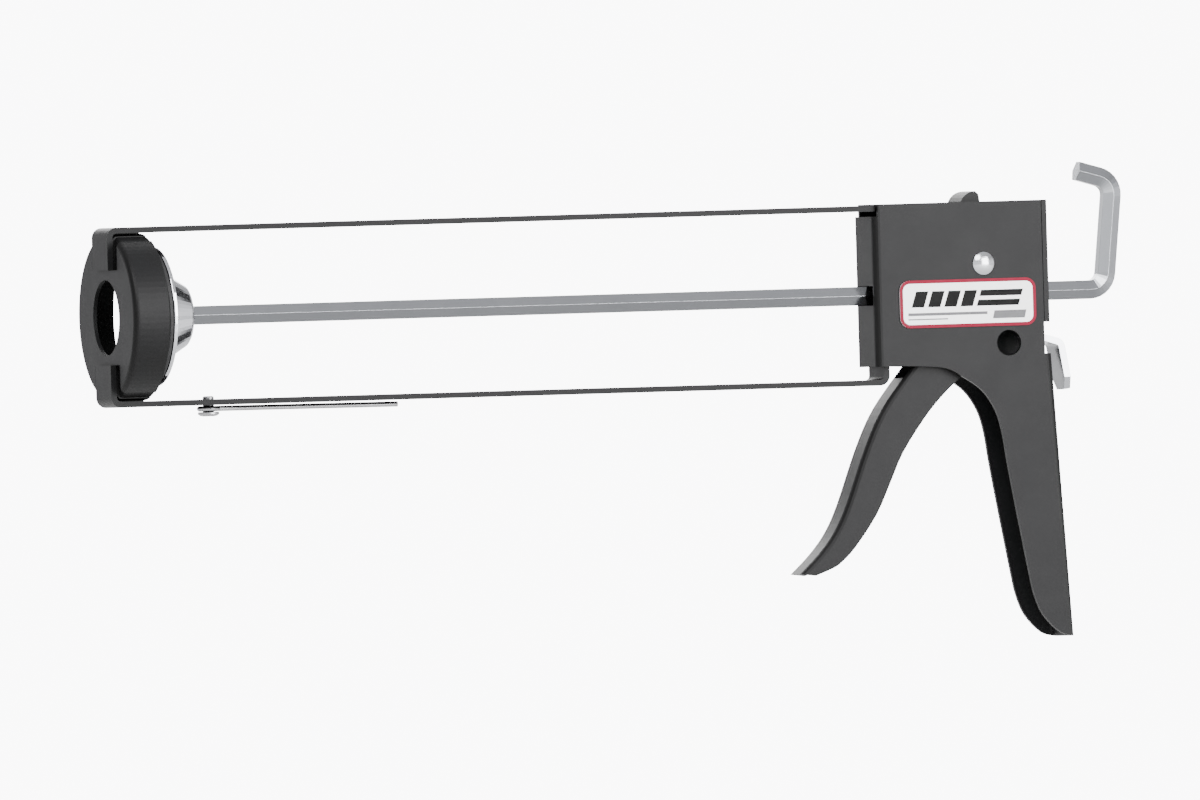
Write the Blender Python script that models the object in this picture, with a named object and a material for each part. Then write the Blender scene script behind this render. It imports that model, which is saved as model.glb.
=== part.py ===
"""Quart-size strap-frame caulking gun.

Metres, +Z up. +X runs back along the push rod to its hook, +Y is the gun's right side, -Y its left.
The pieces are laid out from a point on the rod's axis 2 mm behind the front cup's face. The finished
gun is then moved so that the origin lies on the flat back of the grip, about half way down it.
"""

import math

import bmesh
import bpy
from mathutils import Matrix, Vector

MM = 0.001

# Front cup
CUP_R = 35.9 * MM
CUP_WALL = 1.6 * MM
CUP_X = (-2.6 * MM, 13.3 * MM)
CUP_EDGE_R = 2.4 * MM
NOZZLE_R = 16.15 * MM
CHANNEL_HALF = 15.5 * MM
CHANNEL_START_Z = 20.3 * MM
CHANNEL_DEPTH = 1.8 * MM
CHANNEL_RIM_DEPTH = 0.5 * MM
PAD_HALF = 8.6 * MM
PAD_DEPTH = 0.7 * MM
PAD_RIM_DEPTH = 0.2 * MM

# Straps
STRAP_HALF = 9.6 * MM
STRAP_T = 2.5 * MM
STRAP_IN_Z = 36.0 * MM
STRAP_FRONT_X = -4.7 * MM
STRAP_BEND_R = 4.4 * MM
STRAP_END_X = 344.8 * MM
STRAP_TAB_X = 349.4 * MM
STRAP_TAB_TOP_Z = -12.0 * MM

# Housing and grip, folded from sheet
SHEET = 2.0 * MM
BODY_HALF = 12.5 * MM
BODY_FOLD_R = 3.0 * MM
WEB_T = 3.4 * MM
BODY_FRONT_X = 342.8 * MM
BODY_TOP_X = 345.1 * MM
BODY_REAR_X = 419.2 * MM
BODY_TOP_Z = 39.0 * MM
BODY_LOW_Z = -30.4 * MM
SLOT_LOW_Z = -26.2 * MM
SPINE_TOP = (422.7 * MM, -26.7 * MM)
SPINE_END = (429.1 * MM, -147.6 * MM)
WEB_TOP_Z = 33.8 * MM
WEB_SLOT_HALF_Y = 9.5 * MM
WEB_SLOT_HALF_Z = 4.2 * MM
LUG_SLOT = (371.5 * MM, 395.6 * MM)
LUG_SLOT_HALF = 8.7 * MM
CUTTER_XZ = (403.0 * MM, -21.7 * MM)
CUTTER_R = 5.5 * MM

# Rear plate
REAR_T = 2.2 * MM
REAR_GAP = 0.3 * MM
REAR_LOW_Z = -13.2 * MM

# Trigger
PIVOT_XZ = (392.4 * MM, 12.5 * MM)
TRIGGER_HALF = 8.0 * MM
TRIGGER_T = 2.0 * MM
TRIGGER_FOLD_R = 2.1 * MM
TRIGGER_WEB_TOP_Z = -35.5 * MM
PIN_SHANK_R = 3.1 * MM
PIN_HOLE_R = 3.5 * MM
PIN_HEAD_R = 5.0 * MM
PIN_HEAD_H = 1.9 * MM

# Push rod: hexagon bar, flats top and bottom
ROD_AF = 7.94 * MM
ROD_FRONT_X = 7.0 * MM
HOOK_X = 451.2 * MM
HOOK_LEAN_DEG = 6.1
HOOK_TOP_Z = 46.3 * MM
HOOK_BEND_R = 7.8 * MM
HOOK_TIP_RISE_DEG = 16.0
HOOK_TIP_LENGTH = 12.0 * MM
BORE_R = 5.0 * MM

# Plunger
PLUNGER_R = 30.0 * MM
PAD_X = (15.6 * MM, 17.4 * MM)
DISC_X = (17.7 * MM, 19.5 * MM)
COLLAR_X = (19.8 * MM, 32.9 * MM)
COLLAR_R = (20.2 * MM, 13.2 * MM)
WASHER_X = (14.2 * MM, 15.3 * MM)
NUT_X = (8.4 * MM, 13.9 * MM)
NUT_AF = 14.0 * MM
PLUNGER_BORE_R = 4.9 * MM

# Drive plate, springs, seat and catch
DRIVE_X = (379.7 * MM, 383.7 * MM)
DRIVE_HALF = 10.0 * MM
DRIVE_Z = (-12.0 * MM, 24.0 * MM)
SPRING_X = (346.8 * MM, 379.2 * MM)
SPRING_R = 7.3 * MM
SPRING_WIRE_R = 0.9 * MM
SPRING_TURNS = 8
SEAT_X = (406.2 * MM, 407.6 * MM)
SEAT_HALF = 10.1 * MM
SEAT_Z = (-7.2 * MM, 20.0 * MM)
CATCH_SPRING_X = (407.9 * MM, 412.4 * MM)
CATCH_SPRING_R = 6.9 * MM
CATCH_SPRING_WIRE_R = 0.55 * MM
CATCH_SPRING_TURNS = 3
CATCH_T = 2.8 * MM
CATCH_HALF = 8.0 * MM
CATCH_HINGE_XZ = (411.5 * MM, 34.8 * MM)
CATCH_CHAMFER = (3.4 * MM, 5.0 * MM)

# Seal punch under the lower strap
PUNCH_X = 42.7 * MM
PUNCH_SHANK_R = 2.4 * MM
PUNCH_HEAD_R = 4.6 * MM
PUNCH_HEAD_H = 1.9 * MM
PUNCH_WIRE_R = 1.15 * MM
PUNCH_LENGTH = 85.9 * MM
PUNCH_WIRE_Z = -40.0 * MM
PUNCH_TIP_Z = -40.3 * MM

# Side label
LABEL_X = (353.7 * MM, 415.5 * MM)
LABEL_Z = (-14.4 * MM, 6.0 * MM)
LABEL_T = 0.4 * MM
LABEL_CORNER_R = 4.5 * MM

# The point that becomes the origin, on the grip's back
ORIGIN_Z = -90.0 * MM


def clear_scene():
    """Remove every object that is already in the scene."""
    for old in list(bpy.data.objects):
        bpy.data.objects.remove(old, do_unlink=True)


def material(name, colour, metallic, roughness):
    """Return a Principled material."""
    mat = bpy.data.materials.new(name)
    mat.use_nodes = True
    shader = mat.node_tree.nodes["Principled BSDF"]
    shader.inputs["Base Color"].default_value = (*colour, 1.0)
    shader.inputs["Metallic"].default_value = metallic
    shader.inputs["Roughness"].default_value = roughness
    return mat


def add_object(name, bm, mat=None):
    """Turn a bmesh into a scene object."""
    bmesh.ops.remove_doubles(bm, verts=bm.verts, dist=0.000001)
    bmesh.ops.recalc_face_normals(bm, faces=bm.faces)
    mesh = bpy.data.meshes.new(name)
    bm.to_mesh(mesh)
    bm.free()
    obj = bpy.data.objects.new(name, mesh)
    bpy.context.scene.collection.objects.link(obj)
    if mat:
        mesh.materials.append(mat)
    return obj


def move_origin(obj, point):
    """Put an object's origin at a point without moving its mesh."""
    shift = Vector(point)
    obj.data.transform(Matrix.Translation(-shift))
    obj.location = shift


def soften(obj, angle_deg=32.0):
    """Smooth the round faces and keep the real edges sharp."""
    obj.data.polygons.foreach_set("use_smooth", [True] * len(obj.data.polygons))
    obj.data.set_sharp_from_angle(angle=math.radians(angle_deg))


def cut(target, tool, operation="DIFFERENCE"):
    """Apply one exact boolean to the target and drop the tool."""
    tool.hide_render = True
    tool.display_type = "WIRE"
    mod = target.modifiers.new("cut", "BOOLEAN")
    mod.operation = operation
    mod.solver = "EXACT"
    mod.object = tool
    bpy.context.view_layer.update()
    graph = bpy.context.evaluated_depsgraph_get()
    baked = bpy.data.meshes.new_from_object(target.evaluated_get(graph))
    target.modifiers.clear()
    old = target.data
    target.data = baked
    bpy.data.meshes.remove(old)
    bpy.data.objects.remove(tool, do_unlink=True)


def prism_mesh(points, y_low, y_high):
    """Extrude a closed X, Z outline across Y."""
    bm = bmesh.new()
    near = [bm.verts.new((x, y_low, z)) for x, z in points]
    far = [bm.verts.new((x, y_high, z)) for x, z in points]
    count = len(points)
    bm.faces.new(near)
    bm.faces.new(list(reversed(far)))
    for i in range(count):
        j = (i + 1) % count
        bm.faces.new((near[j], near[i], far[i], far[j]))
    return bm


def prism(name, points, half, mat=None):
    """Make an object from a closed X, Z outline extruded to both sides of Y = 0."""
    return add_object(name, prism_mesh(points, -half, half), mat)


def box(name, low, high):
    """Make an axis-aligned box."""
    outline = [(low[0], low[2]), (high[0], low[2]), (high[0], high[2]), (low[0], high[2])]
    return add_object(name, prism_mesh(outline, low[1], high[1]))


def lathe(name, profile, mat=None, segments=64, axis="X", centre=(0.0, 0.0, 0.0)):
    """Spin a closed list of (along, radius) points round an axis through the centre."""
    bm = bmesh.new()
    rings = []
    for along, radius in profile:
        if radius <= 0.0:
            spots = [(along, 0.0, 0.0)]
        else:
            turns = [2.0 * math.pi * k / segments for k in range(segments)]
            spots = [(along, radius * math.cos(t), radius * math.sin(t)) for t in turns]
        rings.append([bm.verts.new(spot) for spot in spots])
    for ring, following in zip(rings, rings[1:] + rings[:1]):
        if len(ring) == 1 and len(following) == 1:
            continue
        for k in range(segments):
            m = (k + 1) % segments
            if len(ring) == 1:
                bm.faces.new((ring[0], following[k], following[m]))
            elif len(following) == 1:
                bm.faces.new((ring[k], following[0], ring[m]))
            else:
                bm.faces.new((ring[k], following[k], following[m], ring[m]))
    turn = {
        "X": Matrix.Identity(4),
        "Y": Matrix.Rotation(math.radians(90.0), 4, "Z"),
        "Z": Matrix.Rotation(math.radians(-90.0), 4, "Y"),
    }[axis]
    bmesh.ops.transform(bm, matrix=Matrix.Translation(centre) @ turn, verts=bm.verts)
    return add_object(name, bm, mat)


def arc(centre, radius, start_deg, end_deg, steps):
    """Points on an arc in a plane, both ends included."""
    sweep = [start_deg + (end_deg - start_deg) * k / steps for k in range(steps + 1)]
    return [
        (
            centre[0] + radius * math.cos(math.radians(a)),
            centre[1] + radius * math.sin(math.radians(a)),
        )
        for a in sweep
    ]


def smooth_path(points, steps):
    """A Catmull-Rom curve through the points, both ends included."""
    ends = [points[0]] + list(points) + [points[-1]]
    path = []
    for p0, p1, p2, p3 in zip(ends, ends[1:], ends[2:], ends[3:]):
        for k in range(steps):
            t = k / steps
            path.append(
                tuple(
                    0.5
                    * (
                        2.0 * b
                        + (c - a) * t
                        + (2.0 * a - 5.0 * b + 4.0 * c - d) * t * t
                        + (3.0 * b - a - 3.0 * c + d) * t * t * t
                    )
                    for a, b, c, d in zip(p0, p1, p2, p3)
                )
            )
    path.append(tuple(points[-1]))
    return path


def offset_path(path, distance):
    """The path moved sideways by a distance, to the left of its direction."""
    moved = []
    for i, point in enumerate(path):
        before = path[max(i - 1, 0)]
        after = path[min(i + 1, len(path) - 1)]
        step = Vector((after[0] - before[0], after[1] - before[1])).normalized()
        moved.append((point[0] - step.y * distance, point[1] + step.x * distance))
    return moved


def millimetres(points):
    """Scale a list of millimetre points to metres."""
    return [(x * MM, z * MM) for x, z in points]


def bevel_edges(bm, chosen, width, segments):
    """Round the edges for which chosen(midpoint, direction) is true."""
    edges = []
    for edge in bm.edges:
        a, b = (v.co for v in edge.verts)
        if chosen((a + b) / 2.0, (b - a).normalized()):
            edges.append(edge)
    bmesh.ops.bevel(
        bm,
        geom=edges,
        offset=width,
        offset_type="OFFSET",
        segments=segments,
        profile=0.5,
        affect="EDGES",
    )


def sweep(bm, path, section, closed_section=True):
    """Sweep a section round a path of (point, normal, side) frames, with flat ends."""
    rings = []
    for point, normal, side in path:
        rings.append([bm.verts.new(point + normal * n + side * s) for n, s in section])
    count = len(section)
    for ring, following in zip(rings, rings[1:]):
        for k in range(count):
            m = (k + 1) % count
            bm.faces.new((ring[k], ring[m], following[m], following[k]))
    bm.faces.new(list(reversed(rings[0])))
    bm.faces.new(rings[-1])


def spine_x(z):
    """The X of the grip's rear face at a height."""
    share = (SPINE_TOP[1] - z) / (SPINE_TOP[1] - SPINE_END[1])
    return SPINE_TOP[0] + share * (SPINE_END[0] - SPINE_TOP[0])


def cup_solid(name, depth, rim_depth, rear, mat=None):
    """The cup's outer form, sunk at its face and at its rim and closed at a rear plane."""
    front = CUP_X[0] + depth
    edge = max(CUP_EDGE_R - depth / 2.0, CUP_EDGE_R / 2.0)
    corner = arc((front + edge, CUP_R - rim_depth - edge), edge, 180.0, 90.0, 6)
    profile = [(front, 0.0)] + corner + [(rear, CUP_R - rim_depth), (rear, 0.0)]
    return lathe(name, profile, mat, 88)


def clear_ends(body, half, start_z):
    """Cut away the top and bottom of a cup form over a width."""
    low_x, high_x = CUP_X[0] - MM, CUP_X[1] + 10.0 * MM
    reach = CUP_R + 2.0 * MM
    cut(body, box("top", (low_x, -half, start_z), (high_x, half, reach)))
    cut(body, box("bottom", (low_x, -half, -reach), (high_x, half, -start_z)))


def front_cup(mat):
    """Pressed cup with a nozzle hole and a sunk channel on each side of each strap."""
    rear = CUP_X[1]
    cup = cup_solid("front_cup", 0.0, 0.0, rear, mat)
    clear_ends(cup, CHANNEL_HALF, CHANNEL_START_Z)
    pad = cup_solid("pad", PAD_DEPTH, PAD_RIM_DEPTH, rear - 0.1 * MM)
    reach = CUP_R + 2.0 * MM
    cut(pad, box("slab", (CUP_X[0] - MM, -PAD_HALF, -reach), (rear + MM, PAD_HALF, reach)), "INTERSECT")
    cut(cup, pad, "UNION")
    cut(cup, cup_solid("channels", CHANNEL_DEPTH, CHANNEL_RIM_DEPTH, rear - 0.2 * MM), "UNION")
    void = cup_solid("void", CUP_WALL, CUP_WALL, rear + MM)
    clear_ends(void, CHANNEL_HALF + CUP_WALL, CHANNEL_START_Z - CUP_WALL)
    under = [CHANNEL_DEPTH + CUP_WALL, CHANNEL_RIM_DEPTH + CUP_WALL]
    cut(void, cup_solid("under_channels", under[0], under[1], rear + 2.0 * MM), "UNION")
    cut(cup, void)
    hole = [(CUP_X[0] - MM, 0.0), (CUP_X[0] - MM, NOZZLE_R)]
    hole += [(CUP_X[1] + MM, NOZZLE_R), (CUP_X[1] + MM, 0.0)]
    cut(cup, lathe("hole", hole, None, 56))
    return cup


def strap_outline(up, rear):
    """The strap's side outline, from the end of its front tab to its rear end."""
    outer_z = STRAP_IN_Z + STRAP_T
    centre = (STRAP_FRONT_X + STRAP_BEND_R, outer_z - STRAP_BEND_R)
    outer = [(STRAP_FRONT_X, CHANNEL_START_Z)] + arc(centre, STRAP_BEND_R, 180.0, 90.0, 8)
    back = arc(centre, STRAP_BEND_R - STRAP_T, 90.0, 180.0, 8)
    back += [(STRAP_FRONT_X + STRAP_T, CHANNEL_START_Z)]
    return [(x, up * z) for x, z in outer + rear + back]


def upper_strap(mat):
    """Top bar of the frame; its rear end meets the housing's top web."""
    outer_z = STRAP_IN_Z + STRAP_T
    rear = [(STRAP_END_X, outer_z), (STRAP_END_X, STRAP_IN_Z)]
    return prism("upper_strap", strap_outline(1.0, rear), STRAP_HALF, mat)


def lower_strap(mat):
    """Bottom bar of the frame; its rear end turns up behind the housing's front web."""
    outer_z = STRAP_IN_Z + STRAP_T
    centre = (STRAP_TAB_X - STRAP_BEND_R, outer_z - STRAP_BEND_R)
    rear = arc(centre, STRAP_BEND_R, 90.0, 0.0, 8)
    rear += [(STRAP_TAB_X, -STRAP_TAB_TOP_Z), (STRAP_TAB_X - STRAP_T, -STRAP_TAB_TOP_Z)]
    rear += arc(centre, STRAP_BEND_R - STRAP_T, 0.0, 90.0, 8)
    strap = prism("lower_strap", strap_outline(-1.0, rear), STRAP_HALF, mat)
    hole_r = PUNCH_SHANK_R + 0.3 * MM
    hole = [(-50.0 * MM, 0.0), (-50.0 * MM, hole_r), (-30.0 * MM, hole_r), (-30.0 * MM, 0.0)]
    cut(strap, lathe("hole", hole, None, 32, "Z", (PUNCH_X, 0.0, 0.0)))
    return strap


def grip_front_edge():
    """The curved front edge of the grip's side plates, from the bottom corner up to the housing."""
    return smooth_path(
        millimetres(
            [
                (429.1, -147.6),
                (422.4, -145.7),
                (415.1, -138.2),
                (411.3, -129.2),
                (409.3, -119.7),
                (406.6, -105.0),
                (403.4, -87.2),
                (400.8, -72.0),
                (398.9, -59.5),
                (396.0, -50.0),
                (390.2, -41.6),
                (381.5, -35.6),
                (374.5, -32.0),
                (366.0, -30.9),
                (354.0, -30.4),
            ]
        ),
        4,
    )


def cross_hole(body, centre_xz, radius, low_y, high_y):
    """Cut a round hole along Y through what lies between two heights."""
    hole = [(low_y, 0.0), (low_y, radius), (high_y, radius), (high_y, 0.0)]
    cut(body, lathe("hole", hole, None, 40, "Y", (centre_xz[0], 0.0, centre_xz[1])))


def handle_housing(mat):
    """Folded sheet housing and pistol grip in one piece."""
    outline = [(BODY_FRONT_X, BODY_LOW_Z), (BODY_FRONT_X, BODY_TOP_Z), (BODY_REAR_X, BODY_TOP_Z)]
    outline += [(BODY_REAR_X, SPINE_TOP[1]), SPINE_TOP]
    outline += grip_front_edge()
    bm = prism_mesh(outline, -BODY_HALF, BODY_HALF)

    def outer_fold(mid, way):
        front = abs(mid.x - BODY_FRONT_X) < MM / 10.0 and abs(way.z) > 0.99
        spine = abs(mid.x - spine_x(mid.z)) < MM / 10.0 and abs(way.z) > 0.99
        return front or (spine and mid.z < SPINE_TOP[1] - MM)

    bevel_edges(bm, outer_fold, BODY_FOLD_R, 5)
    body = add_object("handle_housing", bm, mat)

    below = -150.0 * MM
    void = [
        (BODY_FRONT_X + WEB_T, below),
        (BODY_FRONT_X + WEB_T, BODY_TOP_Z - SHEET),
        (BODY_REAR_X + 9.0 * MM, BODY_TOP_Z - SHEET),
        (BODY_REAR_X + 9.0 * MM, SLOT_LOW_Z),
        (spine_x(SLOT_LOW_Z) - SHEET, SLOT_LOW_Z),
        (spine_x(below) - SHEET, below),
    ]
    vm = prism_mesh(void, -BODY_HALF + SHEET, BODY_HALF - SHEET)

    def inner_fold(mid, way):
        front = abs(mid.x - BODY_FRONT_X - WEB_T) < MM / 10.0 and abs(way.z) > 0.99
        spine = abs(mid.x - spine_x(mid.z) + SHEET) < MM / 10.0 and abs(way.z) > 0.99
        return front or spine

    bevel_edges(vm, inner_fold, BODY_FOLD_R - SHEET, 3)
    cut(body, add_object("void", vm))

    web = (BODY_FRONT_X - MM, BODY_FRONT_X + WEB_T + MM / 2.0)
    top = BODY_TOP_Z + 5.0 * MM
    half = BODY_HALF + MM
    cut(body, box("gap", (web[0], -half, WEB_TOP_Z), (BODY_TOP_X, half, top)))
    half = BODY_HALF - SHEET
    cut(body, box("gap", (web[0], -half, WEB_TOP_Z), (web[1], half, BODY_TOP_Z - SHEET)))
    half = WEB_SLOT_HALF_Y
    cut(body, box("gap", (web[0], -half, -WEB_SLOT_HALF_Z), (web[1], half, WEB_SLOT_HALF_Z)))
    half = LUG_SLOT_HALF
    cut(body, box("gap", (LUG_SLOT[0], -half, 30.0 * MM), (LUG_SLOT[1], half, top)))
    cross_hole(body, PIVOT_XZ, PIN_HOLE_R, -20.0 * MM, 20.0 * MM)
    cross_hole(body, CUTTER_XZ, CUTTER_R, -20.0 * MM, 0.0)
    return body


def rear_plate(mat):
    """Plate that closes the back of the housing, bored for the push rod."""
    front = BODY_REAR_X + REAR_GAP
    outline = [(front, REAR_LOW_Z), (front + REAR_T, REAR_LOW_Z)]
    outline += [(front + REAR_T, BODY_TOP_Z), (front, BODY_TOP_Z)]
    plate = prism("rear_plate", outline, BODY_HALF, mat)
    bore_plate(plate, BORE_R)
    return plate


def bore_plate(plate, radius):
    """Cut the push rod's clearance hole through a plate."""
    reach = 500.0 * MM
    cut(plate, lathe("hole", [(0.0, 0.0), (0.0, radius), (reach, radius), (reach, 0.0)], None, 40))


def trigger_outline():
    """The trigger's side outline, from its tip up the front, over the lug and down the back."""
    front = smooth_path(
        millimetres(
            [
                (307.2, -118.1),
                (315.9, -109.8),
                (323.0, -100.9),
                (329.0, -89.2),
                (338.5, -64.7),
                (346.9, -48.2),
                (360.5, -30.8),
            ]
        ),
        5,
    )
    inside = millimetres([(371.0, -21.6), (379.0, -15.8), (384.4, -12.8), (384.4, 2.0)])
    inside += millimetres([(384.1, 23.4), (386.4, 25.2), (386.4, 35.2)])
    lug = arc((391.1 * MM, 36.2 * MM), 7.3 * MM, 180.0, 90.0, 7)
    lug += millimetres([(392.6, 42.1), (393.2, 38.0)])
    back = smooth_path(
        millimetres([(392.9, 36.0), (397.8, 22.0), (399.0, 12.5), (398.2, 0.0), (396.9, -12.0)]), 3
    )
    heel = smooth_path(
        millimetres(
            [
                (395.2, -22.5),
                (390.3, -29.4),
                (382.6, -35.4),
                (373.4, -43.7),
                (365.2, -52.9),
                (355.1, -67.2),
                (349.0, -79.8),
                (342.3, -93.4),
                (332.5, -106.8),
                (326.0, -113.2),
                (321.8, -115.9),
                (313.9, -118.9),
            ]
        ),
        3,
    )
    return front, inside + lug + back + heel


def trigger(mat):
    """Channel-section trigger: two flanges joined by a curved front web and by the lug's web."""
    front, rest = trigger_outline()
    bm = prism_mesh(front + rest, -TRIGGER_HALF, TRIGGER_HALF)
    middles = [((a[0] + b[0]) / 2.0, (a[1] + b[1]) / 2.0) for a, b in zip(front, front[1:])]

    def front_fold(mid, way):
        near = min(math.hypot(mid.x - x, mid.z - z) for x, z in middles)
        return abs(way.y) < 0.5 and near < MM / 100.0

    bmesh.ops.recalc_face_normals(bm, faces=bm.faces)
    bevel_edges(bm, front_fold, TRIGGER_FOLD_R, 3)
    body = add_object("trigger", bm, mat)
    inner = TRIGGER_HALF - TRIGGER_T
    skin = offset_path(front, -TRIGGER_T)
    top_z = 34.8 * MM
    void = skin[1:] + millimetres([(366.0, -18.0), (378.0, -8.0), (378.0, 20.0)])
    void += [(378.0 * MM, top_z), (400.0 * MM, top_z), (402.0 * MM, 0.0), (402.0 * MM, -20.0 * MM)]
    void += millimetres([(392.0, -45.0), (366.0, -78.0), (346.0, -112.0), (326.0, -122.0)])
    void += [(skin[1][0] + 4.0 * MM, -121.0 * MM)]
    cut(body, prism("void", void, inner))
    mouth = box("gap", (345.0 * MM, -inner, TRIGGER_WEB_TOP_Z), (372.0 * MM, inner, -18.0 * MM))
    cut(body, mouth)
    cross_hole(body, PIVOT_XZ, PIN_HOLE_R, -20.0 * MM, 20.0 * MM)
    move_origin(body, (PIVOT_XZ[0], 0.0, PIVOT_XZ[1]))
    return body


def dome(radius, height, start, steps):
    """Points from the rim of a shallow dome to its pole, along an axis."""
    ball = (radius * radius + height * height) / (2.0 * height)
    limit = math.asin(radius / ball)
    turns = [limit * (1.0 - k / steps) for k in range(steps + 1)]
    return [(start + ball * (math.cos(t) - 1.0) + height, ball * math.sin(t)) for t in turns]


def trigger_pin(mat):
    """Rivet with a dome at both ends, through both side plates and both trigger flanges."""
    seat = BODY_HALF + 0.3 * MM
    right = dome(PIN_HEAD_R, PIN_HEAD_H, seat, 7)
    left = [(-a, r) for a, r in reversed(right)]
    profile = left + [(-seat, PIN_SHANK_R), (seat, PIN_SHANK_R)] + right
    profile[len(left) - 1] = (-seat, PIN_HEAD_R)
    pin = lathe("trigger_pin", profile, mat, 48, "Y", (PIVOT_XZ[0], 0.0, PIVOT_XZ[1]))
    return pin


def drive_plate(mat):
    """Plate that grips the push rod when the trigger pushes it forward."""
    outline = [(DRIVE_X[0], DRIVE_Z[0]), (DRIVE_X[1], DRIVE_Z[0])]
    outline += [(DRIVE_X[1], DRIVE_Z[1]), (DRIVE_X[0], DRIVE_Z[1])]
    bm = prism_mesh(outline, -DRIVE_HALF, DRIVE_HALF)
    bevel_edges(bm, lambda mid, way: abs(way.x) > 0.99, 2.5 * MM, 4)
    plate = add_object("drive_plate", bm, mat)
    bore_plate(plate, BORE_R)
    return plate


def coil(name, span, radius, wire_r, turns, mat):
    """Helical compression spring along X with closed, flattened end turns."""
    bm = bmesh.new()
    per_turn = 16
    total = per_turn * turns
    low = span[0] + wire_r
    high = span[1] - wire_r
    path = []
    for k in range(total + 1):
        share = k / total
        eased = share - math.sin(2.0 * math.pi * share) * 0.45 / (2.0 * math.pi)
        turn = 2.0 * math.pi * k / per_turn
        outward = Vector((0.0, math.cos(turn), math.sin(turn)))
        point = Vector((low + (high - low) * eased, 0.0, 0.0)) + outward * radius
        path.append((point, outward, Vector((1.0, 0.0, 0.0))))
    ring = [2.0 * math.pi * k / 6 for k in range(6)]
    sweep(bm, path, [(wire_r * math.cos(t), wire_r * math.sin(t)) for t in ring])
    return add_object(name, bm, mat)


def spring_seat(mat):
    """Cross plate behind the trigger that carries the catch spring."""
    outline = [(SEAT_X[0], SEAT_Z[0]), (SEAT_X[1], SEAT_Z[0])]
    outline += [(SEAT_X[1], SEAT_Z[1]), (SEAT_X[0], SEAT_Z[1])]
    seat = prism("spring_seat", outline, SEAT_HALF, mat)
    bore_plate(seat, BORE_R)
    return seat


def strip_outline(path, thickness):
    """Outline of a bent strip of even thickness whose centre line is the path."""
    one = offset_path(path, thickness / 2.0)
    other = offset_path(path, -thickness / 2.0)
    return one + list(reversed(other))


def catch_plate(mat):
    """Sprung catch plate with the thumb tab that reaches out below the rear plate."""
    path = millimetres([(411.5, 36.2), (411.5, 34.8), (412.9, 20.0), (416.4, -15.0)])
    path += arc((419.8 * MM, -15.9 * MM), 3.6 * MM, 172.0, 252.0, 5)
    path += arc((425.6 * MM, -24.5 * MM), 3.0 * MM, 74.0, 10.0, 6)
    path += millimetres([(430.8, -37.2), (431.6, -42.1)])
    plate = prism("catch_plate", strip_outline(path, CATCH_T), CATCH_HALF, mat)
    low_z = -42.0 * MM
    dy, dz = CATCH_CHAMFER
    for side in (1.0, -1.0):
        bm = bmesh.new()
        corner = [(CATCH_HALF - dy, low_z), (CATCH_HALF, low_z + dz), (CATCH_HALF + dy, low_z + dz)]
        corner += [(CATCH_HALF + dy, low_z - dz), (CATCH_HALF - dy, low_z - dz)]
        front = [bm.verts.new((428.0 * MM, side * y, z)) for y, z in corner]
        rear = [bm.verts.new((440.0 * MM, side * y, z)) for y, z in corner]
        bm.faces.new(front)
        bm.faces.new(list(reversed(rear)))
        for i in range(len(corner)):
            j = (i + 1) % len(corner)
            bm.faces.new((front[j], front[i], rear[i], rear[j]))
        cut(plate, add_object("corner", bm))
    bore_plate(plate, BORE_R)
    move_origin(plate, (CATCH_HINGE_XZ[0], 0.0, CATCH_HINGE_XZ[1]))
    return plate


def push_rod(mat):
    """Hexagon bar, bent up and forward into a pull hook at its rear end."""
    lean = math.radians(HOOK_LEAN_DEG)
    rise = math.radians(HOOK_TIP_RISE_DEG)
    corners = [Vector((ROD_FRONT_X, 0.0, 0.0)), Vector((HOOK_X, 0.0, 0.0))]
    corners.append(corners[1] + Vector((math.tan(lean) * HOOK_TOP_Z, 0.0, HOOK_TOP_Z)))
    tip_way = Vector((-math.cos(rise), 0.0, math.sin(rise)))
    bend_back = HOOK_BEND_R * math.tan((math.pi - math.acos(math.sin(rise - lean))) / 2.0)
    corners.append(corners[2] + tip_way * (HOOK_TIP_LENGTH + abs(bend_back) / 2.0))
    points = [corners[0]]
    for before, here, after in zip(corners, corners[1:], corners[2:]):
        a = (before - here).normalized()
        b = (after - here).normalized()
        half_angle = a.angle(b) / 2.0
        back = HOOK_BEND_R / math.tan(half_angle)
        centre = here + (a + b).normalized() * (HOOK_BEND_R / math.sin(half_angle))
        start = (here + a * back) - centre
        turn = math.pi - 2.0 * half_angle
        steps = 7
        for k in range(steps + 1):
            points.append(centre + Matrix.Rotation(-turn * k / steps, 3, "Y") @ start)
    points.append(corners[-1])
    side = Vector((0.0, 1.0, 0.0))
    path = []
    for i, point in enumerate(points):
        way = (points[min(i + 1, len(points) - 1)] - points[max(i - 1, 0)]).normalized()
        path.append((point, way.cross(side), side))
    vertex_r = ROD_AF / math.sqrt(3.0)
    turns = [math.radians(90.0 + 60.0 * k) for k in range(6)]
    bm = bmesh.new()
    sweep(bm, path, [(vertex_r * math.cos(t), vertex_r * math.sin(t)) for t in turns])
    return add_object("push_rod", bm, mat)


def ring(name, span, inner_r, outer_r, mat, edge=0.4 * MM, segments=56):
    """Flat ring round the X axis with a small rounded outer edge."""
    low, high = span
    profile = [(low, inner_r), (low, outer_r - edge), (low + edge * 0.3, outer_r - edge * 0.3)]
    profile += [(low + edge, outer_r), (high - edge, outer_r)]
    profile += [(high - edge * 0.3, outer_r - edge * 0.3), (high, outer_r - edge), (high, inner_r)]
    return lathe(name, profile, mat, segments)


def plunger_collar(mat):
    """Pressed cone behind the plunger disc that centres it on the rod."""
    low, high = COLLAR_X
    wide, narrow = COLLAR_R
    lip = 1.2 * MM
    profile = [(low, PLUNGER_BORE_R), (low, wide), (low + lip, wide), (high - lip, narrow + lip / 2.0)]
    profile += [(high - lip / 3.0, narrow), (high, narrow - lip / 2.0), (high, PLUNGER_BORE_R)]
    return lathe("plunger_collar", profile, mat, 64)


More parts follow.
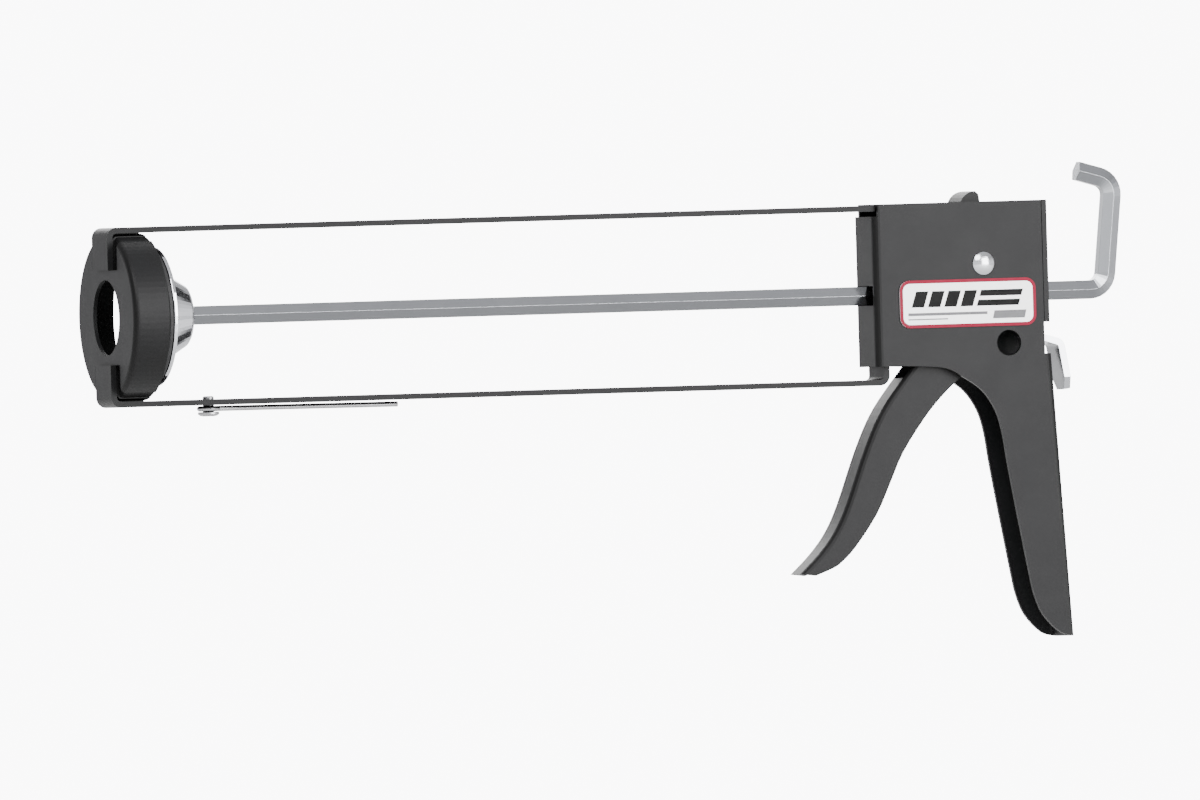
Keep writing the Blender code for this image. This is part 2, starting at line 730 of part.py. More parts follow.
def plunger_nut(mat):
    """Hexagon nut on the rod's front end."""
    vertex_r = NUT_AF / math.sqrt(3.0)
    span = NUT_X
    bm = bmesh.new()
    turns = [math.radians(60.0 * k) for k in range(6)]
    front = [bm.verts.new((span[0], vertex_r * math.cos(t), vertex_r * math.sin(t))) for t in turns]
    rear = [bm.verts.new((span[1], vertex_r * math.cos(t), vertex_r * math.sin(t))) for t in turns]
    bm.faces.new(front)
    bm.faces.new(list(reversed(rear)))
    for i in range(6):
        j = (i + 1) % 6
        bm.faces.new((front[j], front[i], rear[i], rear[j]))
    nut = add_object("plunger_nut", bm, mat)
    bore_plate(nut, PLUNGER_BORE_R)
    return nut


def punch_rivet(mat):
    """Rivet that holds the seal punch under the lower strap, with a stub above and a low dome below."""
    top = -STRAP_IN_Z + 1.4 * MM
    head_top = PUNCH_WIRE_Z - PUNCH_WIRE_R - 0.25 * MM
    edge = 0.5 * MM
    profile = [(top, 0.0), (top, PUNCH_SHANK_R - edge), (top - edge, PUNCH_SHANK_R)]
    profile += [(head_top, PUNCH_SHANK_R), (head_top, PUNCH_HEAD_R - edge / 2.0)]
    profile += [(head_top - edge / 2.0, PUNCH_HEAD_R)]
    low = head_top - PUNCH_HEAD_H
    profile += [(head_top - 2.0 * edge, PUNCH_HEAD_R), (low + edge / 2.0, PUNCH_HEAD_R - 2.0 * edge)]
    profile += [(low, PUNCH_HEAD_R / 2.0), (low, 0.0)]
    return lathe("punch_rivet", profile, mat, 40, "Z", (PUNCH_X, 0.0, 0.0))


def punch_wire(mat):
    """Swinging wire that pierces a cartridge's seal, with an eye round the rivet."""
    eye_r = PUNCH_SHANK_R + 0.3 * MM + PUNCH_WIRE_R
    frames = []
    start = math.radians(-250.0)
    for k in range(25):
        t = start + (math.radians(-30.0) - start) * k / 24
        outward = Vector((math.cos(t), math.sin(t), 0.0))
        point = Vector((PUNCH_X, 0.0, PUNCH_WIRE_Z)) + outward * eye_r
        frames.append((point, outward, Vector((0.0, 0.0, 1.0))))
    tip_x = PUNCH_X + PUNCH_LENGTH
    first = frames[-1][0]
    lead = first.x + 3.0 * MM
    for k in range(1, 13):
        share = k / 12
        x = lead + (tip_x - lead) * share
        fade = max(0.0, 1.0 - share * 6.0)
        z = PUNCH_WIRE_Z + (PUNCH_TIP_Z - PUNCH_WIRE_Z) * share
        point = Vector((x, first.y * fade, z))
        frames.append((point, Vector((0.0, -1.0, 0.0)), Vector((0.0, 0.0, 1.0))))
    bm = bmesh.new()
    rounds = [2.0 * math.pi * k / 12 for k in range(12)]
    sweep(bm, frames, [(PUNCH_WIRE_R * math.cos(t), PUNCH_WIRE_R * math.sin(t)) for t in rounds])
    wire = add_object("punch_wire", bm, mat)
    move_origin(wire, (PUNCH_X, 0.0, PUNCH_WIRE_Z))
    return wire


def side_label(mat):
    """Thin rounded label plate on the housing's left side."""
    r = LABEL_CORNER_R
    low_x, high_x = LABEL_X
    low_z, high_z = LABEL_Z
    outline = arc((high_x - r, high_z - r), r, 0.0, 90.0, 6)
    outline += arc((low_x + r, high_z - r), r, 90.0, 180.0, 6)
    outline += arc((low_x + r, low_z + r), r, 180.0, 270.0, 6)
    outline += arc((high_x - r, low_z + r), r, 270.0, 360.0, 6)
    near = -BODY_HALF - 0.3 * MM
    return add_object("side_label", prism_mesh(outline, near - LABEL_T, near), mat)


def build():
    """Build every piece of the caulking gun."""
    clear_scene()
    paint = (0.09, 0.09, 0.09)
    front_cup(material("cup_paint", paint, 0.0, 0.5))
    upper_strap(material("upper_strap_paint", paint, 0.0, 0.5))
    lower_strap(material("lower_strap_paint", paint, 0.0, 0.5))
    handle_housing(material("housing_paint", paint, 0.0, 0.5))
    rear_plate(material("rear_plate_paint", paint, 0.0, 0.5))
    trigger(material("trigger_paint", paint, 0.0, 0.5))
    trigger_pin(material("pin_chrome", (0.8, 0.8, 0.82), 1.0, 0.12))
    drive_plate(material("drive_plate_steel", (0.4, 0.4, 0.42), 1.0, 0.35))
    coil(
        "drive_spring",
        SPRING_X,
        SPRING_R,
        SPRING_WIRE_R,
        SPRING_TURNS,
        material("drive_spring_steel", (0.45, 0.45, 0.47), 1.0, 0.3),
    )
    spring_seat(material("spring_seat_steel", (0.4, 0.4, 0.42), 1.0, 0.35))
    coil(
        "catch_spring",
        CATCH_SPRING_X,
        CATCH_SPRING_R,
        CATCH_SPRING_WIRE_R,
        CATCH_SPRING_TURNS,
        material("catch_spring_steel", (0.45, 0.45, 0.47), 1.0, 0.3),
    )
    catch_plate(material("catch_plate_chrome", (0.8, 0.8, 0.82), 1.0, 0.12))
    push_rod(material("rod_steel", (0.55, 0.57, 0.6), 1.0, 0.22))
    ring("plunger_pad", PAD_X, PLUNGER_BORE_R, PLUNGER_R, material("pad_rubber", (0.02,) * 3, 0.0, 0.7))
    ring(
        "plunger_disc",
        DISC_X,
        PLUNGER_BORE_R,
        PLUNGER_R,
        material("disc_chrome", (0.8, 0.8, 0.82), 1.0, 0.12),
    )
    plunger_collar(material("collar_chrome", (0.8, 0.8, 0.82), 1.0, 0.12))
    ring(
        "plunger_washer",
        WASHER_X,
        PLUNGER_BORE_R,
        11.0 * MM,
        material("washer_zinc", (0.6, 0.6, 0.62), 1.0, 0.3),
        0.3 * MM,
        48,
    )
    plunger_nut(material("nut_zinc", (0.6, 0.6, 0.62), 1.0, 0.3))
    punch_rivet(material("punch_rivet_zinc", (0.6, 0.6, 0.62), 1.0, 0.3))
    punch_wire(material("punch_wire_steel", (0.5, 0.5, 0.52), 1.0, 0.3))
    side_label(material("label_print", (0.8, 0.8, 0.8), 0.0, 0.4))
    to_origin = Vector((spine_x(ORIGIN_Z), 0.0, ORIGIN_Z))
    for obj in bpy.data.objects:
        soften(obj)
        obj.location -= to_origin


build()
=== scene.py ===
"""Looks, camera, floor and light for the quart-size caulking gun.

Metres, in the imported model's frame: +X runs back along the push rod, -Y is the gun's left side, +Z is up.
"""

import math

import bmesh
import bpy
from mathutils import Matrix, Vector

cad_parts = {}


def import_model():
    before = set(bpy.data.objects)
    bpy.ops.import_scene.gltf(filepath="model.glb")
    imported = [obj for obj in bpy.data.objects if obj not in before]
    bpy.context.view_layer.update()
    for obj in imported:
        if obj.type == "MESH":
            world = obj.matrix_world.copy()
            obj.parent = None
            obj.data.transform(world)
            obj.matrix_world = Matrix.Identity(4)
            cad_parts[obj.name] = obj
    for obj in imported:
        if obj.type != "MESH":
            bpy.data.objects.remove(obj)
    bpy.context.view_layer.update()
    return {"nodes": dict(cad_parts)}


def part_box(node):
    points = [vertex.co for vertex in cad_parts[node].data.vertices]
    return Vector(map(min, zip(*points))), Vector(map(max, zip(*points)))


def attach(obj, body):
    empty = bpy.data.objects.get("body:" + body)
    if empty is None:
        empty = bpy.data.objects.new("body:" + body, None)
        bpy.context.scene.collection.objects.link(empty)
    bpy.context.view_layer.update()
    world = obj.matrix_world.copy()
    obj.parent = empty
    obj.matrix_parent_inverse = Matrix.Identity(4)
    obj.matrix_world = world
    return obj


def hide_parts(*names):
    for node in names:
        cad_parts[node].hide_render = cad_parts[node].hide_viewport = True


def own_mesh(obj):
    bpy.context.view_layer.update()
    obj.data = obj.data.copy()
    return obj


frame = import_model()

MM = 0.001

# Camera: orthographic, turned towards the gun's front and rolled a little.
YAW = math.radians(20.0)
ROLL = 0.0290
VIEW_WIDTH = 0.5128
CENTRE_RIGHT = -0.194199
CENTRE_UP = 0.043254
CAMERA_DISTANCE = 2.4

# Stage: the floor's height and half width, and the surround's brightness by height, from straight down to
# straight up. The backdrop is brighter by BACKDROP, inside a cone whose cosines are BACKDROP_EDGE.
FLOOR_Z = -0.10
FLOOR_HALF = 3.0
SURROUND = ((0.0, 0.15), (0.3, 0.25), (0.46, 1.4), (0.56, 1.4), (0.72, 0.55), (1.0, 0.8))
SURROUND_BLUE = 1.015
BACKDROP = 7.0
BACKDROP_EDGE = (0.975, 0.996)
LIGHT_SIZE = 1.2
LIGHTS = (
    ("key_light", (-0.9, -1.3, 1.4), (-0.2, 0.0, 0.06), 36.0),
    ("fill_light", (0.5, -1.4, 0.5), (-0.15, 0.0, 0.06), 48.0),
    ("back_light", (0.1, 1.5, 0.9), (-0.15, 0.0, 0.06), 26.0),
)

# Powder coat: its gloss, then two shades of the coat, its rubbed edges, and the painted shade on its folds,
# undersides and hollows.
COAT_SPECULAR = 0.14
COAT_ROUGH = 0.42
COAT = ((0.0075, 0.0075, 0.008), (0.009, 0.009, 0.0095))
COAT_RUBBED = (0.06, 0.06, 0.06)
COAT_FOLD_SHADE = (0.003, 0.003, 0.003)
COAT_UNDER_SHADE = (0.005, 0.005, 0.005)
COAT_HOLLOW_SHADE = (0.007, 0.007, 0.007)

# Metals: clean colour and smudged colour.
CHROME = ((0.78, 0.79, 0.82), (0.66, 0.67, 0.7))
TAB_CHROME = ((0.58, 0.59, 0.62), (0.52, 0.53, 0.56))
BRIGHT_BAR = ((0.49, 0.505, 0.53), (0.43, 0.445, 0.47))
ZINC = ((0.5, 0.5, 0.51), (0.4, 0.4, 0.41))
PLAIN_STEEL = ((0.3, 0.3, 0.31), (0.22, 0.22, 0.225))
METAL_EDGE = 0.2 * MM

# Rubber and floor paper: two shades each. Label film and inks.
RUBBER = ((0.012, 0.012, 0.013), (0.022, 0.022, 0.023))
PAPER = ((0.84, 0.84, 0.84), (0.87, 0.87, 0.87))
FILM_WHITE = (0.97, 0.97, 0.98)
INK_RED = (0.17, 0.0015, 0.018)
INK_BLACK = (0.003, 0.003, 0.003)
INK_GREY = (0.12, 0.12, 0.125)

# Label print, in mm from the label's lower front corner: x, z, width, height, lean.
BARS = (
    (5.2, 8.8, 5.6, 6.8, 2.2),
    (12.6, 8.8, 5.6, 6.8, 2.2),
    (20.0, 8.8, 5.6, 6.8, 2.2),
    (27.4, 8.8, 5.6, 6.8, 2.2),
    (34.8, 8.8, 19.0, 2.6, 0.84),
    (36.16, 13.0, 19.0, 2.6, 0.84),
)
RULES = ((3.6, 5.2, 36.0, 1.2, 0.0), (3.6, 3.4, 18.0, 0.5, 0.0), (42.0, 3.3, 14.5, 3.4, 0.8))
BORDER = 1.4 * MM
LABEL_CORNER = 4.5 * MM
PRINT_LIFT = 0.02 * MM
PRINT_T = 0.05 * MM

# Weld seams between the straps and the cup: half width, depth into each, and set-back at each end.
STRAP_T = 2.5 * MM
SEAM_HALF = 2.0 * MM
SEAM_INTO_CUP = 0.8 * MM
SEAM_INTO_STRAP = 0.2 * MM
SEAM_ENDS = (4.0 * MM, 0.6 * MM)


# ---------------------------------------------------------------- node helpers


class Graph:
    """A material's node tree with short calls for the nodes used here."""

    def __init__(self, name):
        self.material = bpy.data.materials.new(name)
        self.material.use_nodes = True
        self.tree = self.material.node_tree
        self.tree.nodes.clear()
        self.shader = self.add("ShaderNodeBsdfPrincipled")
        out = self.add("ShaderNodeOutputMaterial")
        self.link(self.shader.outputs["BSDF"], out.inputs["Surface"])
        self.coords = self.add("ShaderNodeTexCoord").outputs["Object"]

    def add(self, kind, **props):
        node = self.tree.nodes.new(kind)
        for key, value in props.items():
            setattr(node, key, value)
        return node

    def link(self, source, target):
        self.tree.links.new(source, target)

    def noise(self, scale, detail, stretch=(1.0, 1.0, 1.0), rough=0.5):
        mapping = self.add("ShaderNodeMapping")
        mapping.inputs["Scale"].default_value = stretch
        self.link(self.coords, mapping.inputs["Vector"])
        node = self.add("ShaderNodeTexNoise")
        node.inputs["Scale"].default_value = scale
        node.inputs["Detail"].default_value = detail
        node.inputs["Roughness"].default_value = rough
        self.link(mapping.outputs["Vector"], node.inputs["Vector"])
        return node.outputs["Fac"]

    def remap(self, value, low, high, to_low, to_high):
        node = self.add("ShaderNodeMapRange")
        node.inputs["From Min"].default_value = low
        node.inputs["From Max"].default_value = high
        node.inputs["To Min"].default_value = to_low
        node.inputs["To Max"].default_value = to_high
        self.link(value, node.inputs["Value"])
        return node.outputs["Result"]

    def mix(self, factor, a, b):
        node = self.add("ShaderNodeMix", data_type="RGBA")
        self.link(factor, node.inputs["Factor"])
        for socket, value in ((node.inputs[6], a), (node.inputs[7], b)):
            if isinstance(value, tuple):
                socket.default_value = (*value, 1.0)
            else:
                self.link(value, socket)
        return node.outputs[2]

    def math(self, operation, a, b):
        node = self.add("ShaderNodeMath", operation=operation)
        for socket, value in zip(node.inputs, (a, b)):
            if isinstance(value, float):
                socket.default_value = value
            else:
                self.link(value, socket)
        return node.outputs[0]

    def rounded_normal(self, radius):
        node = self.add("ShaderNodeBevel", samples=6)
        node.inputs["Radius"].default_value = radius
        return node.outputs["Normal"]

    def edges(self, radius):
        """1 on an outer or inner edge, 0 on a flat."""
        soft = self.rounded_normal(radius)
        dot = self.add("ShaderNodeVectorMath", operation="DOT_PRODUCT")
        true_normal = self.add("ShaderNodeNewGeometry").outputs["Normal"]
        self.link(soft, dot.inputs[0])
        self.link(true_normal, dot.inputs[1])
        return self.remap(dot.outputs["Value"], 0.86, 0.995, 1.0, 0.0)

    def fold(self, axes):
        """1 where the surface turns halfway between two axes, 0 where it is square to one."""
        node = self.add("ShaderNodeSeparateXYZ")
        self.link(self.add("ShaderNodeNewGeometry").outputs["Normal"], node.inputs[0])
        product = self.math("MULTIPLY", node.outputs[axes[0]], node.outputs[axes[1]])
        return self.remap(self.math("ABSOLUTE", product, 0.0), 0.08, 0.45, 0.0, 1.0)

    def facing_away(self, axis):
        """1 on surfaces that face well along the negative axis, 0 on the others."""
        node = self.add("ShaderNodeSeparateXYZ")
        self.link(self.add("ShaderNodeNewGeometry").outputs["Normal"], node.inputs[0])
        return self.remap(node.outputs[axis], -0.5, -0.1, 1.0, 0.0)

    def hollow(self, reach):
        """0 deep inside a hollow, 1 in the open."""
        node = self.add("ShaderNodeAmbientOcclusion", samples=8)
        node.inputs["Distance"].default_value = reach
        return self.remap(node.outputs["AO"], 0.25, 0.85, 0.0, 1.0)

    def bump(self, height, strength, distance, normal=None):
        node = self.add("ShaderNodeBump")
        node.inputs["Strength"].default_value = strength
        node.inputs["Distance"].default_value = distance
        self.link(height, node.inputs["Height"])
        if normal is not None:
            self.link(normal, node.inputs["Normal"])
        self.link(node.outputs["Normal"], self.shader.inputs["Normal"])

    def setting(self, key, value):
        self.shader.inputs[key].default_value = value

    def colour(self, source):
        self.link(source, self.shader.inputs["Base Color"])

    def roughness(self, source):
        self.link(source, self.shader.inputs["Roughness"])


def paint(name, folds=""):
    """Satin powder coat: fine orange peel, mottling, rubbed edges, painted shade on folds and undersides, and
    painted shade in hollows close to the coat's own tone.
    """
    g = Graph(name)
    g.setting("Metallic", 0.0)
    g.setting("Specular IOR Level", COAT_SPECULAR)
    mottle = g.remap(g.noise(38.0, 4.0), 0.35, 0.65, 0.0, 1.0)
    base = g.mix(mottle, *COAT)
    patchy = g.remap(g.noise(240.0, 3.0), 0.42, 0.68, 0.05, 0.35)
    base = g.mix(g.math("MULTIPLY", g.edges(0.2 * MM), patchy), base, COAT_RUBBED)
    # Painted shade: where asked, surfaces turned halfway between the two axes are darkened.
    if folds:
        base = g.mix(g.math("MULTIPLY", g.fold(folds), 0.85), base, COAT_FOLD_SHADE)
    # Painted shade: surfaces facing down are darkened.
    base = g.mix(g.math("MULTIPLY", g.facing_away("Z"), 0.7), base, COAT_UNDER_SHADE)
    # Painted shade: deep in hollows the colour is set to one tone, a little darker than the coat.
    g.colour(g.mix(g.hollow(25.0 * MM), COAT_HOLLOW_SHADE, base))
    g.roughness(g.remap(g.noise(90.0, 4.0), 0.3, 0.7, COAT_ROUGH, COAT_ROUGH + 0.03))
    g.bump(g.noise(2400.0, 2.0), 0.14, 0.05 * MM)
    return g.material


def metal(name, colours, rough, grain=(1.0, 1.0, 1.0), underside_shade=0.35, inner=0.0):
    """Plated or bare steel with drawn grain, faint smudges, a painted highlight on its edges, painted shade
    on its underside, on faces turned to the front where asked, and in hollows.
    """
    clean, worn = colours
    g = Graph(name)
    g.setting("Metallic", 1.0)
    smudge = g.remap(g.noise(55.0, 5.0, rough=0.6), 0.35, 0.7, 0.0, 1.0)
    lined = g.noise(900.0, 3.0, grain, 0.6)
    base = g.mix(smudge, clean, worn)
    # Painted highlight: edges are lightened halfway towards 1.2 times the clean colour.
    edge_highlight = tuple(min(1.0, c * 1.2) for c in clean)
    base = g.mix(g.math("MULTIPLY", g.edges(METAL_EDGE), 0.5), base, edge_highlight)
    # Painted shade: a dark colour, a quarter of the smudged one, for surfaces facing down and, where asked,
    # faces turned to the front.
    low = tuple(c * 0.25 for c in worn)
    base = g.mix(g.math("MULTIPLY", g.facing_away("Z"), underside_shade), base, low)
    # Painted shade: where asked, faces turned to the front, towards -X, are darkened the same way.
    if inner:
        base = g.mix(g.math("MULTIPLY", g.facing_away("X"), inner), base, low)
    # Painted shade: deep in hollows the colour falls to a tenth of the smudged colour.
    g.colour(g.mix(g.hollow(6.0 * MM), tuple(c * 0.1 for c in worn), base))
    smudged = g.remap(smudge, 0.0, 1.0, rough, rough + 0.06)
    g.roughness(g.math("ADD", smudged, g.remap(lined, 0.3, 0.7, -0.02, 0.03)))
    g.bump(lined, 0.06, 0.03 * MM, g.rounded_normal(METAL_EDGE))
    return g.material


def rubber(name):
    """Black moulded rubber with a dusty bloom."""
    g = Graph(name)
    g.setting("Metallic", 0.0)
    g.setting("Specular IOR Level", 0.4)
    bloom = g.remap(g.noise(70.0, 5.0), 0.4, 0.75, 0.0, 1.0)
    g.colour(g.mix(bloom, *RUBBER))
    g.roughness(g.remap(g.noise(300.0, 3.0), 0.3, 0.7, 0.55, 0.72))
    g.bump(g.noise(1500.0, 2.0), 0.2, 0.05 * MM, g.rounded_normal(0.3 * MM))
    return g.material


def ink(name, colour, rough=0.35, gloss=0.1):
    """Label film, or the print on it, slightly uneven."""
    g = Graph(name)
    g.setting("Metallic", 0.0)
    g.setting("Specular IOR Level", gloss)
    thin = tuple(min(1.0, c * 1.08 + 0.002) for c in colour)
    uneven = g.remap(g.noise(420.0, 4.0), 0.35, 0.7, 0.0, 1.0)
    g.colour(g.mix(uneven, colour, thin))
    g.roughness(g.remap(g.noise(160.0, 3.0), 0.3, 0.7, rough - 0.04, rough + 0.08))
    g.bump(g.noise(1800.0, 2.0), 0.05, 0.02 * MM)
    return g.material


def finish_node(name, material):
    """Give a CAD node its finish in every material slot."""
    obj = frame["nodes"][name]
    if not obj.material_slots:
        obj.data.materials.append(material)
    for slot in obj.material_slots:
        slot.material = material


def finishes():
    """Repaint every CAD node."""
    for name in ("upper_strap", "lower_strap", "rear_plate"):
        finish_node(name, paint(name + "_coat"))
    for name in ("front_cup", "handle_housing", "trigger"):
        finish_node(name, paint(name + "_coat", "XY"))
    for name in ("plunger_disc", "plunger_collar", "trigger_pin"):
        finish_node(name, metal(name + "_chrome", CHROME, 0.1))
    # The catch plate also gets painted shade on its faces turned to the front.
    finish_node("catch_plate", metal("catch_plate_chrome", TAB_CHROME, 0.09, inner=0.85))
    along = (0.03, 1.0, 1.0)
    # The push rod gets strong painted shade on the faces turned down.
    finish_node("push_rod", metal("push_rod_bright", BRIGHT_BAR, 0.12, along, underside_shade=0.85))
    for name in ("plunger_washer", "plunger_nut", "punch_rivet", "punch_wire"):
        finish_node(name, metal(name + "_zinc", ZINC, 0.24))
    for name in ("drive_plate", "spring_seat", "drive_spring", "catch_spring"):
        finish_node(name, metal(name + "_steel", PLAIN_STEEL, 0.32))
    finish_node("plunger_pad", rubber("plunger_pad_rubber"))
    finish_node("side_label", ink("side_label_film", FILM_WHITE, gloss=0.4))


# ---------------------------------------------------------------- added pieces


def add_object(name, data):
    """A new object in the scene."""
    obj = bpy.data.objects.new(name, data)
    bpy.context.scene.collection.objects.link(obj)
    return obj


def mesh_from(name, bm):
    """A named mesh from a bmesh, which is freed."""
    mesh = bpy.data.meshes.new(name)
    bm.to_mesh(mesh)
    bm.free()
    return mesh


def add_piece(name, mesh):
    """A new piece that moves with the frame and takes its finish from a slot."""
    obj = add_object(name, mesh)
    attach(obj, "frame")
    return obj


# ---------------------------------------------------------------- label print


def arc(centre, radius, start_deg, end_deg, steps):
    """Points on an arc, both ends included."""
    out = []
    for k in range(steps + 1):
        a = math.radians(start_deg + (end_deg - start_deg) * k / steps)
        out.append((centre[0] + radius * math.cos(a), centre[1] + radius * math.sin(a)))
    return out


def rounded_rectangle(low, high, radius):
    """A closed outline with round corners."""
    centres = (
        (high[0] - radius, high[1] - radius),
        (low[0] + radius, high[1] - radius),
        (low[0] + radius, low[1] + radius),
        (high[0] - radius, low[1] + radius),
    )
    out = []
    for quarter, centre in enumerate(centres):
        out += arc(centre, radius, 90.0 * quarter, 90.0 * (quarter + 1), 8)
    return out


def slab(bm, outline, back_y, front_y):
    """A closed flat shape between two planes square to Y."""
    back = [bm.verts.new((px, back_y, pz)) for px, pz in outline]
    front = [bm.verts.new((px, front_y, pz)) for px, pz in outline]
    bm.faces.new(back)
    bm.faces.new(list(reversed(front)))
    for i in range(len(outline)):
        j = (i + 1) % len(outline)
        bm.faces.new((back[j], back[i], front[i], front[j]))


def ring(bm, outer, inner, back_y, front_y):
    """A closed band between two outlines with the same number of points."""
    rings = []
    for depth in (back_y, front_y):
        for outline in (outer, inner):
            rings.append([bm.verts.new((px, depth, pz)) for px, pz in outline])
    back_out, back_in, front_out, front_in = rings
    for i in range(len(outer)):
        j = (i + 1) % len(outer)
        bm.faces.new((front_out[i], front_out[j], front_in[j], front_in[i]))
        bm.faces.new((back_out[j], back_out[i], back_in[i], back_in[j]))
        bm.faces.new((front_out[j], front_out[i], back_out[i], back_out[j]))
        bm.faces.new((front_in[i], front_in[j], back_in[j], back_in[i]))


def print_layer(name, bm, material):
    """Printed shapes as a piece on the label."""
    bmesh.ops.recalc_face_normals(bm, faces=bm.faces)
    mesh = mesh_from(name, bm)
    mesh.materials.append(material)
    add_piece(name, mesh)


def slanted(corner, shape):
    """A bar leaning towards +X at its top, from its row of BARS or RULES."""
    dx, dz, width, height, lean = (v * MM for v in shape)
    x, z = corner[0] + dx, corner[1] + dz
    return [(x, z), (x + width, z), (x + width + lean, z + height), (x + lean, z + height)]


def label_print():
    """Generic label: red border, leaning black bars and grey rules, with no lettering."""
    low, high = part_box("side_label")
    back_y = low[1] - PRINT_LIFT
    front_y = back_y - PRINT_T
    corner = (low[0], low[2])
    outer = rounded_rectangle(corner, (high[0], high[2]), LABEL_CORNER)
    inner = rounded_rectangle(
        (low[0] + BORDER, low[2] + BORDER), (high[0] - BORDER, high[2] - BORDER), LABEL_CORNER - BORDER
    )
    bm = bmesh.new()
    ring(bm, outer, inner, back_y, front_y)
    print_layer("label_border", bm, ink("label_red_ink", INK_RED))
    layers = (
        ("label_bars", BARS, ink("label_black_ink", INK_BLACK, 0.55)),
        ("label_rules", RULES, ink("label_grey_ink", INK_GREY, 0.5)),
    )
    for name, shapes, material in layers:
        bm = bmesh.new()
        for shape in shapes:
            slab(bm, slanted(corner, shape), back_y, front_y)
        print_layer(name, bm, material)


# ---------------------------------------------------------------- weld seams


def seam(name, low, high):
    """A thin painted weld seam, filling the hairline between a strap and the cup."""
    bm = bmesh.new()
    bmesh.ops.create_cube(bm, size=1.0)
    for vert in bm.verts:
        for axis in range(3):
            vert.co[axis] = low[axis] + (vert.co[axis] + 0.5) * (high[axis] - low[axis])
    mesh = mesh_from(name, bm)
    mesh.materials.append(paint(name + "_coat"))
    add_piece(name, mesh)


def weld_seams():
    """One seam along the top of the cup and one along its bottom."""
    cup_low, cup_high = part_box("front_cup")
    start = cup_low[0] + SEAM_ENDS[0]
    end = cup_high[0] - SEAM_ENDS[1]
    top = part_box("upper_strap")[1][2] - STRAP_T
    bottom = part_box("lower_strap")[0][2] + STRAP_T
    rows = (
        ("upper_weld_seam", "upper_strap", top - SEAM_INTO_CUP, top + SEAM_INTO_STRAP),
        ("lower_weld_seam", "lower_strap", bottom - SEAM_INTO_STRAP, bottom + SEAM_INTO_CUP),
    )
    for name, slot, low_z, high_z in rows:
        seam(name, (start, -SEAM_HALF, low_z), (end, SEAM_HALF, high_z))


# ---------------------------------------------------------------- springs


def coil(name):
    """A copy of a spring that stands in for it; the spring itself is hidden."""
    obj = add_piece(name + "_coil", frame["nodes"][name].data.copy())
    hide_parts(name)
    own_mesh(obj)


def springs():
    """The two springs inside the housing, pressed by the drive plate and by the catch plate."""
    coil("drive_spring")
    coil("catch_spring")


# ---------------------------------------------------------------- stage


def camera():
    """Orthographic camera square to a vertical plane, turned by YAW and rolled by ROLL."""
    level = Vector((math.cos(YAW), -math.sin(YAW), 0.0))
    up0 = Vector((0.0, 0.0, 1.0))
    right = level * math.cos(ROLL) - up0 * math.sin(ROLL)
    up = level * math.sin(ROLL) + up0 * math.cos(ROLL)
    forward = Vector((math.sin(YAW), math.cos(YAW), 0.0))
    data = bpy.data.cameras.new("photo_camera")
    data.type = "ORTHO"
    data.ortho_scale = VIEW_WIDTH
    data.clip_end = 20.0
    cam = add_object("photo_camera", data)
    turn = Matrix((right, up, -forward)).transposed().to_4x4()
    place = right * CENTRE_RIGHT + up * CENTRE_UP - forward * CAMERA_DISTANCE
    cam.matrix_world = Matrix.Translation(place) @ turn
    bpy.context.scene.camera = cam


def area_light(name, place, target, power):
    """A square soft light aimed at a point."""
    data = bpy.data.lights.new(name, "AREA")
    data.shape = "SQUARE"
    data.size = LIGHT_SIZE
    data.energy = power
    light = add_object(name, data)
    aim = Vector(target) - Vector(place)
    light.location = place
    light.rotation_euler = aim.to_track_quat("-Z", "Y").to_euler()


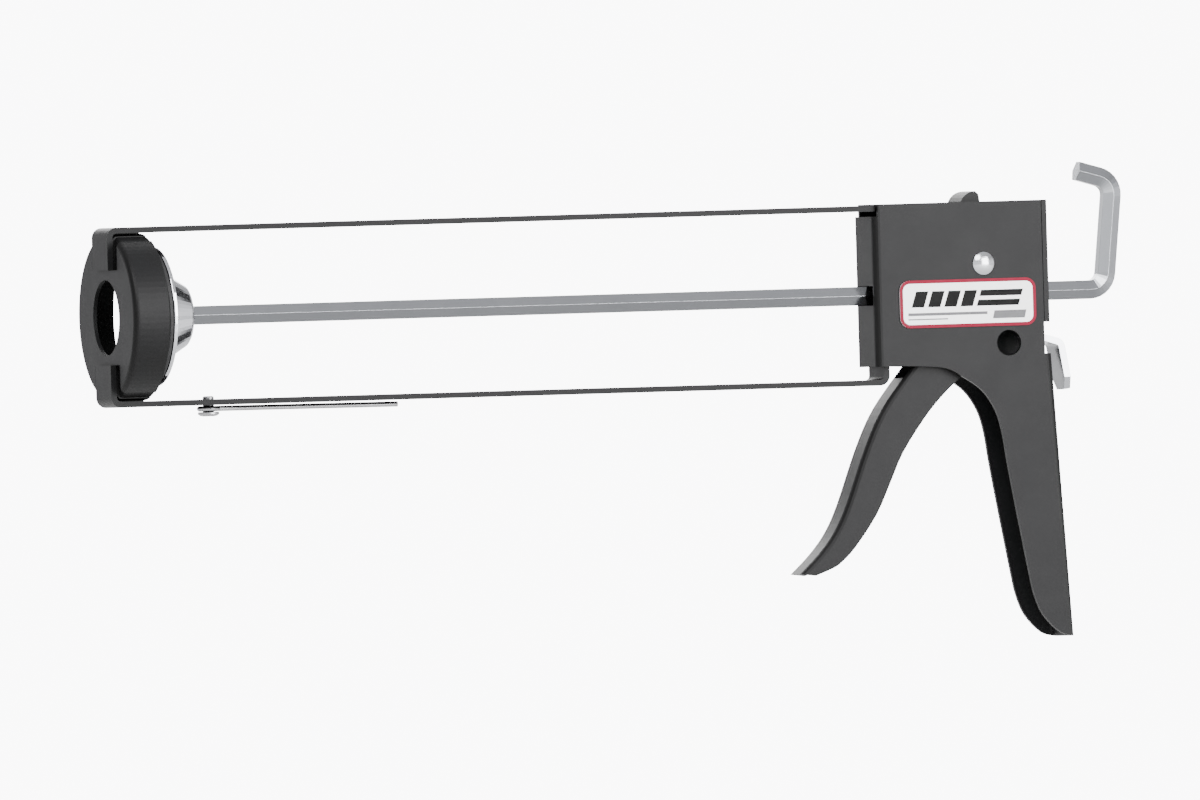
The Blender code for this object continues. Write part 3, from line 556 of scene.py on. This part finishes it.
def world():
    """Studio surround: pale round the horizon, greyer overhead and below, a lit backdrop beyond the gun."""
    surround = bpy.data.worlds.new("studio")
    bpy.context.scene.world = surround
    surround.use_nodes = True
    tree = surround.node_tree
    tree.nodes.clear()
    coords = tree.nodes.new("ShaderNodeTexCoord")
    split = tree.nodes.new("ShaderNodeSeparateXYZ")
    remap = tree.nodes.new("ShaderNodeMapRange")
    remap.inputs["From Min"].default_value = -1.0
    remap.inputs["From Max"].default_value = 1.0
    ramp = tree.nodes.new("ShaderNodeValToRGB")
    while len(ramp.color_ramp.elements) < len(SURROUND):
        ramp.color_ramp.elements.new(0.5)
    for element, (position, value) in zip(ramp.color_ramp.elements, SURROUND):
        element.position = position
        element.color = (value, value, value * SURROUND_BLUE, 1.0)
    toward = tree.nodes.new("ShaderNodeVectorMath")
    toward.operation = "DOT_PRODUCT"
    toward.inputs[1].default_value = (math.sin(YAW), math.cos(YAW), 0.0)
    lobe = tree.nodes.new("ShaderNodeMapRange")
    lobe.interpolation_type = "SMOOTHSTEP"
    lobe.inputs["From Min"].default_value = BACKDROP_EDGE[0]
    lobe.inputs["From Max"].default_value = BACKDROP_EDGE[1]
    lobe.inputs["To Min"].default_value = 1.0
    lobe.inputs["To Max"].default_value = BACKDROP
    background = tree.nodes.new("ShaderNodeBackground")
    out = tree.nodes.new("ShaderNodeOutputWorld")
    tree.links.new(coords.outputs["Generated"], split.inputs[0])
    tree.links.new(coords.outputs["Generated"], toward.inputs[0])
    tree.links.new(split.outputs["Z"], remap.inputs["Value"])
    tree.links.new(remap.outputs["Result"], ramp.inputs["Fac"])
    tree.links.new(toward.outputs["Value"], lobe.inputs["Value"])
    tree.links.new(ramp.outputs["Color"], background.inputs["Color"])
    tree.links.new(lobe.outputs["Result"], background.inputs["Strength"])
    tree.links.new(background.outputs["Background"], out.inputs["Surface"])


def floor():
    """Large pale floor below the grip."""
    g = Graph("floor_paper")
    g.colour(g.mix(g.noise(6.0, 3.0), *PAPER))
    g.roughness(g.remap(g.noise(30.0, 2.0), 0.3, 0.7, 0.6, 0.7))
    mesh = bpy.data.meshes.new("studio_floor")
    signs = ((-1, -1), (1, -1), (1, 1), (-1, 1))
    corners = [(sx * FLOOR_HALF, sy * FLOOR_HALF, FLOOR_Z) for sx, sy in signs]
    mesh.from_pydata(corners, [], [(0, 1, 2, 3)])
    mesh.materials.append(g.material)
    add_object("studio_floor", mesh)


camera()
world()
floor()
for row in LIGHTS:
    area_light(*row)
finishes()
label_print()
weld_seams()
springs()
